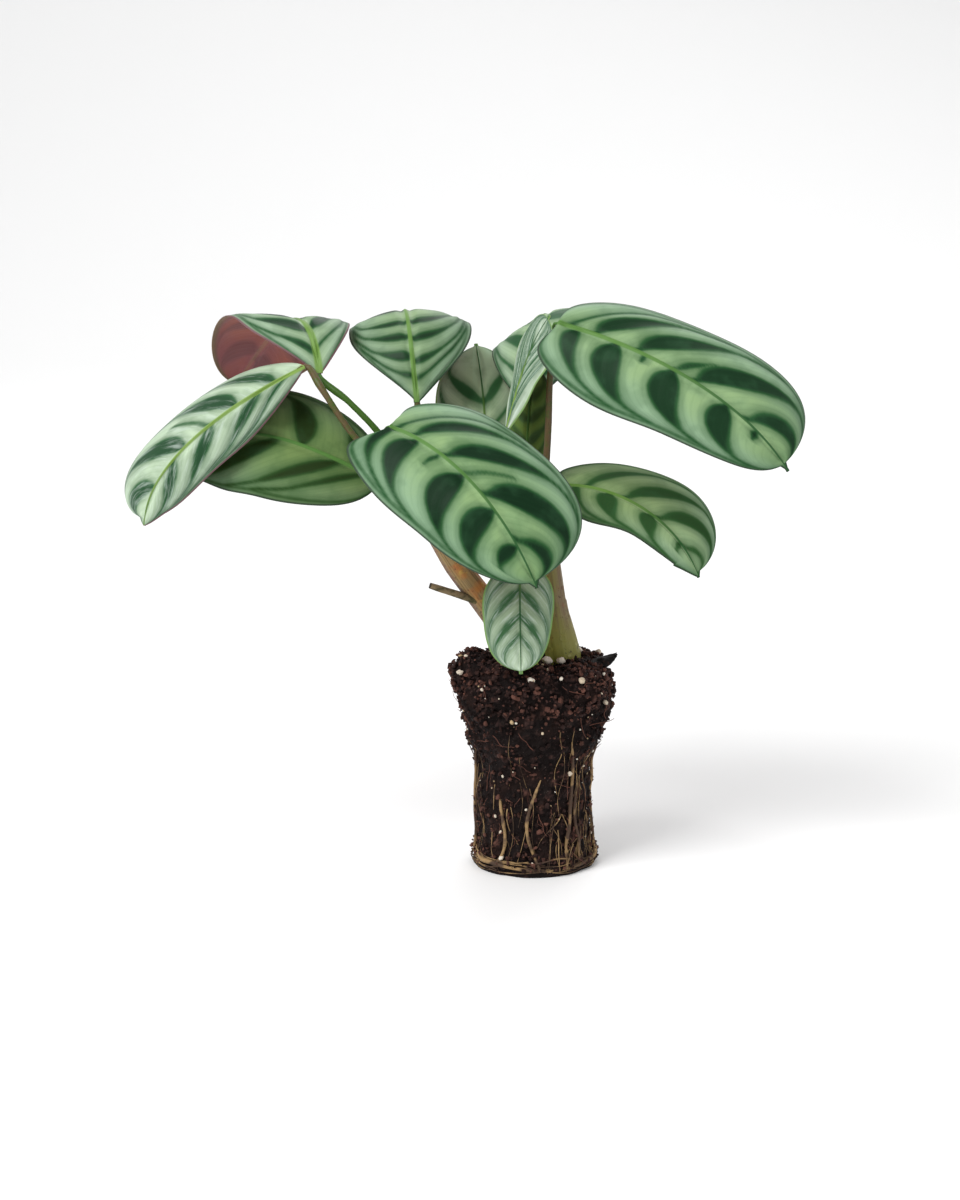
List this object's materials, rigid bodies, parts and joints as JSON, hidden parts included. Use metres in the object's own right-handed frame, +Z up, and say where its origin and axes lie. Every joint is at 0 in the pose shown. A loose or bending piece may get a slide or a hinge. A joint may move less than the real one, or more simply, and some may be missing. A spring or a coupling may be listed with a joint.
{
  "type": "fishbone prayer plant on a bare root plug",
  "caption": "Young prayer plant with herringbone-patterned oval leaves, standing on a bare plug of potting soil that its own roots bind together.",
  "frame": {"origin": "middle of the soil plug's flat foot", "axes": "+Z up along the plug, +X towards the long right-hand leaf, -Y towards the viewer of the big front leaf"},
  "size_m": [0.1593, 0.0801, 0.1365],
  "materials": {
    "soil": "crumbly damp peat and coir with perlite",
    "root": "matt fibrous",
    "sheath_orange": "satin",
    "sheath_olive": "satin",
    "sheath_green": "satin",
    "leaf": "satin leaf surface, dark herringbone bands, purple underside",
    "leaf_young": "satin"
  },
  "bodies": {
    "root": {"soil_plug": "soil", "root_net": "root", "shoot_left": "sheath_orange", "shoot_right": "sheath_olive", "shoot_small": "sheath_green", "blade_front": "leaf", "blade_left": "leaf", "blade_left_back": "leaf", "blade_left_low": "leaf", "blade_mid_back": "leaf", "blade_under": "leaf", "blade_right_back": "leaf", "blade_slim": "leaf", "blade_right": "leaf", "blade_young": "leaf_young", "blade_right_low": "leaf", "blade_small": "leaf"}
  },
  "joints": []
}
